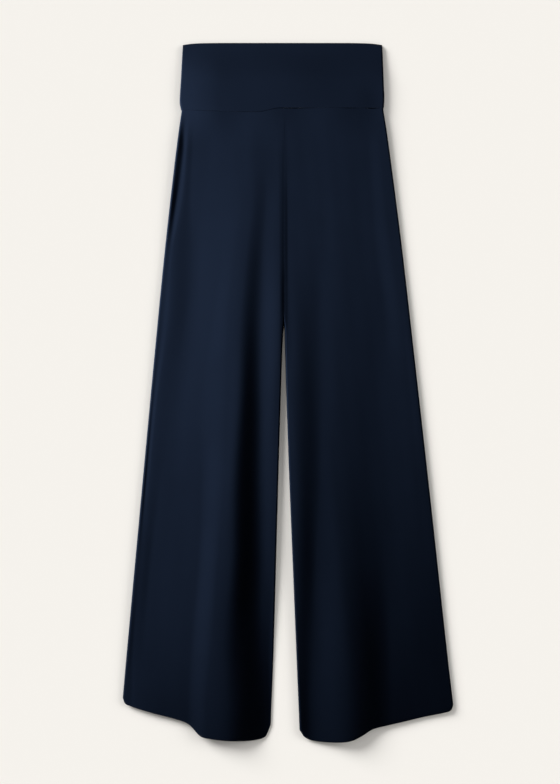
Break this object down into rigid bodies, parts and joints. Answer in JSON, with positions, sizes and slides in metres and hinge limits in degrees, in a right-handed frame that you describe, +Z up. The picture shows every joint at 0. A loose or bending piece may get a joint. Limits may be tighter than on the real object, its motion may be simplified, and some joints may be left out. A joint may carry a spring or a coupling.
{
  "type": "palazzo pants laid flat",
  "caption": "Wide-leg palazzo pants in dark jersey, laid flat with a tall fold-over waistband and soft folds down both flared legs.",
  "frame": {"origin": "centre of the bounding box in X and Y, on the plane the pants lie on", "axes": "+Z up from the surface the pants lie on, +Y from the hems towards the waistband, +X towards the wearer's left leg"},
  "size_m": [0.5113, 1.0849, 0.0201],
  "materials": {
    "jersey": "matt, smooth, fine jersey knit"
  },
  "bodies": {
    "root": {"waistband_front": "jersey", "waistband_back": "jersey", "front_leg_right": "jersey", "front_leg_left": "jersey", "back_leg_right": "jersey", "back_leg_left": "jersey"}
  },
  "joints": []
}
